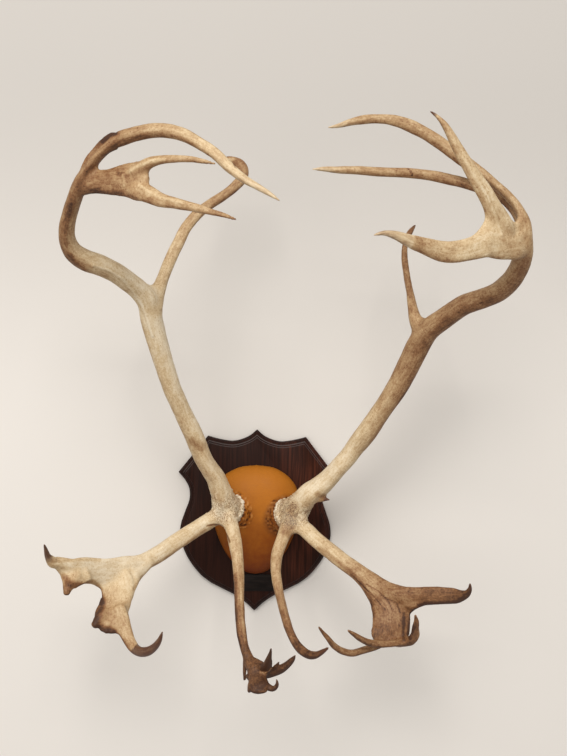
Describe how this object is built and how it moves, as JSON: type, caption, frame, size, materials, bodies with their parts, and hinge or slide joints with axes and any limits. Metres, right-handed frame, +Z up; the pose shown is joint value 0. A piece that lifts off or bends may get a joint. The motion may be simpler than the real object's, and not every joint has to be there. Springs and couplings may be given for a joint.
{
  "type": "caribou antler mount",
  "caption": "Pair of caribou antlers with palmed brow, bez and crown tines on a leather-covered skull cap, fixed to a dark wooden shield that hangs on a wall.",
  "frame": {"origin": "middle of the shield's flat back, on the wall", "axes": "+Y into the wall, +Z up, +X to the right as the mount is looked at"},
  "size_m": [0.7919, 0.6114, 0.9652],
  "materials": {
    "antler": "dry antler bone, tan and cream with brown streaks, dark brown lower tips",
    "walnut": "dark walnut with a satin varnish",
    "leather": "smooth stretched tan leather, bunched round the antler bases",
    "plate": "bare black coated plate",
    "steel": "zinc-plated steel hanger"
  },
  "bodies": {
    "root": {"left_beam": "antler", "left_top_tine": "antler", "left_crown_palm": "antler", "left_rear_tine": "antler", "left_bez_tine": "antler", "left_brow_tine": "antler", "right_beam": "antler", "right_top_tine": "antler", "right_inner_tine": "antler", "right_crown_palm": "antler", "right_rear_tine": "antler", "right_bez_tine": "antler", "right_brow_tine": "antler", "shield_plaque": "walnut", "leather_skull_cap": "leather", "name_plate": "plate", "keyhole_hanger": "steel", "hanger_screw_left": "steel", "hanger_screw_right": "steel"}
  },
  "joints": []
}
